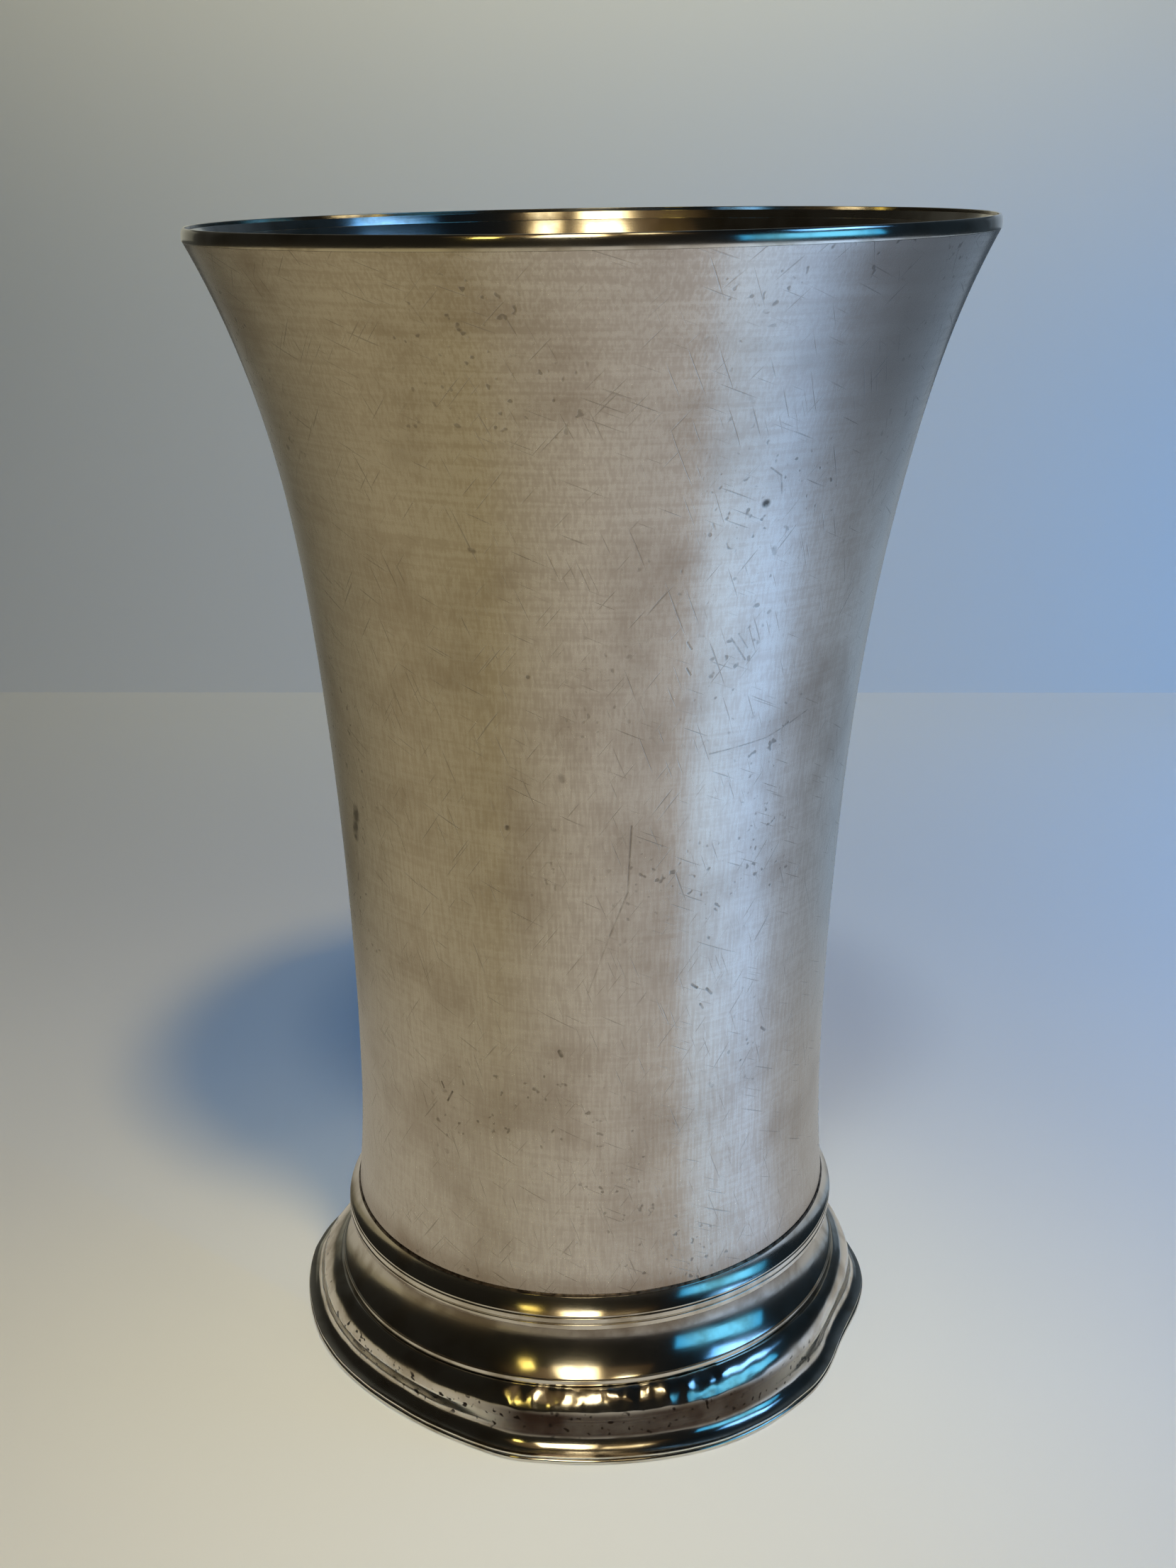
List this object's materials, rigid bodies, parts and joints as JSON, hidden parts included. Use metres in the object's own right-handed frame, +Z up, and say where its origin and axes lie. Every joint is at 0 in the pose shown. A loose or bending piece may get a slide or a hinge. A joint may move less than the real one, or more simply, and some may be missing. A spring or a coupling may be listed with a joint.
{
  "type": "communion cup",
  "caption": "Plain silver communion beaker: trumpet-shaped wall with a wire-edged flaring mouth, a flat inset floor, and a low stepped foot of hollows, fillets, ovolo and flange.",
  "frame": {"origin": "centre of the foot's underside, on the table", "axes": "+Z up along the cup's axis of revolution; X and Y are alike because every piece is round"},
  "size_m": [0.111, 0.111, 0.1712],
  "materials": {
    "satin_silver": "old silver, hand-rubbed satin with fine crossed scratches and light tarnish",
    "polished_silver": "old silver, polished, with small dents",
    "silver_solder": "silver solder, dull and dark with tarnish"
  },
  "bodies": {
    "root": {"body_wall": "satin_silver", "floor_plate": "satin_silver", "lip_wire": "polished_silver", "collar_ring": "polished_silver", "upper_foot_moulding": "polished_silver", "lower_foot_moulding": "polished_silver", "foot_rim_wire": "polished_silver", "collar_solder": "silver_solder", "floor_solder": "silver_solder", "foot_solder": "silver_solder"}
  },
  "joints": []
}
